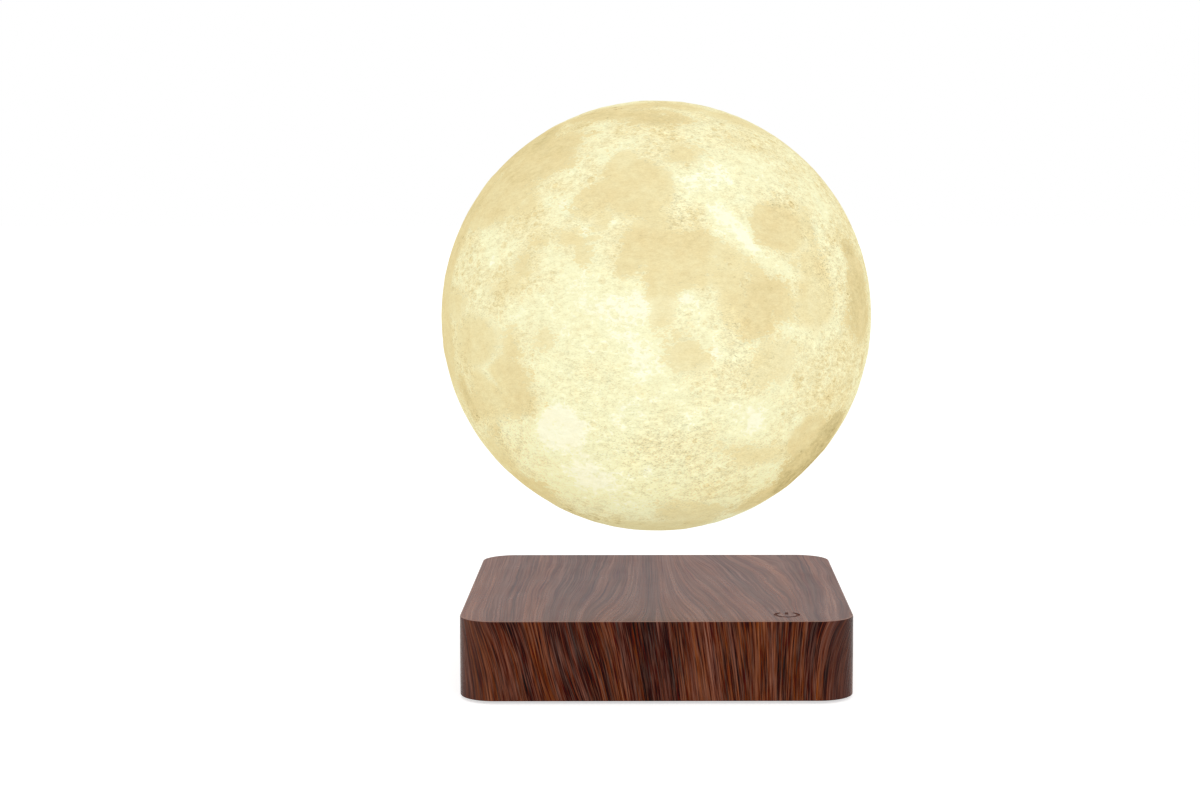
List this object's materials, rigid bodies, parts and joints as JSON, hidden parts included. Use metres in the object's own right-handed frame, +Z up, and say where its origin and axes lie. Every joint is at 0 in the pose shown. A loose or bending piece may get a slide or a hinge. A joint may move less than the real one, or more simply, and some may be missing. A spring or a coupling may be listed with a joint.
{
  "type": "levitating lamp",
  "caption": "Moon globe lamp that floats and turns over a square walnut magnetic base, with its magnet, coils, boards and lights inside.",
  "frame": {"origin": "middle of the lamp's footprint, on the surface that its four feet stand on", "axes": "+Z up along the axis that the globe floats and turns about; -Y to the front, where the touch mark is; +Y to the back, where the power socket is; +X to the right seen from the front"},
  "size_m": [0.1493, 0.1495, 0.1976],
  "materials": {
    "walnut_casing": "dark walnut grain, open pored, satin",
    "black_plastic": "fine moulded texture",
    "grey_silicone": "matte silicone",
    "zinc_steel": "zinc plated",
    "board_green": "solder mask on glass epoxy",
    "chip_black": "moulded chip body",
    "ferrite": "sintered ferrite, unpolished",
    "nylon_white": "natural moulded nylon",
    "copper_wire": "enamelled copper wire",
    "core_steel": "machined soft iron",
    "nickel": "nickel plated, bright",
    "can_aluminium": "plain aluminium",
    "moon_plastic": "translucent printed plastic, lit warm from inside",
    "led_white": "clear silicone over a white diode",
    "led_amber": "phosphor yellow silicone",
    "frosted_plastic": "frosted, lets light through"
  },
  "bodies": {
    "base": {"base_shell": "walnut_casing", "board_screw_back_left": "zinc_steel", "board_screw_back_right": "zinc_steel", "board_screw_front_left": "zinc_steel", "board_screw_front_right": "zinc_steel", "bobbin_back": "black_plastic", "bobbin_front": "black_plastic", "bobbin_left": "black_plastic", "bobbin_right": "black_plastic", "bottom_cover": "black_plastic", "capacitor": "can_aluminium", "coil_carrier": "nylon_white", "controller_chip": "chip_black", "core_back": "core_steel", "core_front": "core_steel", "core_left": "core_steel", "core_right": "core_steel", "cover_screw_back_left": "zinc_steel", "cover_screw_back_right": "zinc_steel", "cover_screw_front_left": "zinc_steel", "cover_screw_front_right": "zinc_steel", "driver_chip_left": "chip_black", "driver_chip_right": "chip_black", "ferrite_sheet": "ferrite", "foot_back_left": "grey_silicone", "foot_back_right": "grey_silicone", "foot_front_left": "grey_silicone", "foot_front_right": "grey_silicone", "hall_board": "board_green", "hall_sensor_1": "chip_black", "hall_sensor_2": "chip_black", "hall_sensor_3": "chip_black", "inductor": "ferrite", "jack_pin": "nickel", "main_board": "board_green", "power_jack": "black_plastic", "ring_magnet": "ferrite", "touch_spring": "zinc_steel", "transmit_coil": "copper_wire", "winding_back": "copper_wire", "winding_front": "copper_wire", "winding_left": "copper_wire", "winding_right": "copper_wire"},
    "float_magnet": {"float_magnet": "nickel"},
    "globe": {"moon_shell": "moon_plastic", "globe_cap": "moon_plastic", "magnet_holder": "nylon_white", "receive_coil": "copper_wire", "receiver_board": "board_green", "receiver_screw_1": "zinc_steel", "receiver_screw_2": "zinc_steel", "receiver_screw_3": "zinc_steel", "led_post": "nylon_white", "led_board": "can_aluminium", "warm_led_1": "led_amber", "warm_led_2": "led_amber", "cool_led_1": "led_white", "cool_led_2": "led_white", "light_diffuser": "frosted_plastic"}
  },
  "joints": [
    {"name": "globe_lift", "type": "slide", "parent": "base", "child": "float_magnet", "axis": [0, 0, 1], "range_m": [0, 0.12]},
    {"name": "globe_spin", "type": "hinge", "parent": "float_magnet", "child": "globe", "pos_m": [0, 0, 0.1227], "axis": [0, 0, 1], "continuous": true}
  ]
}
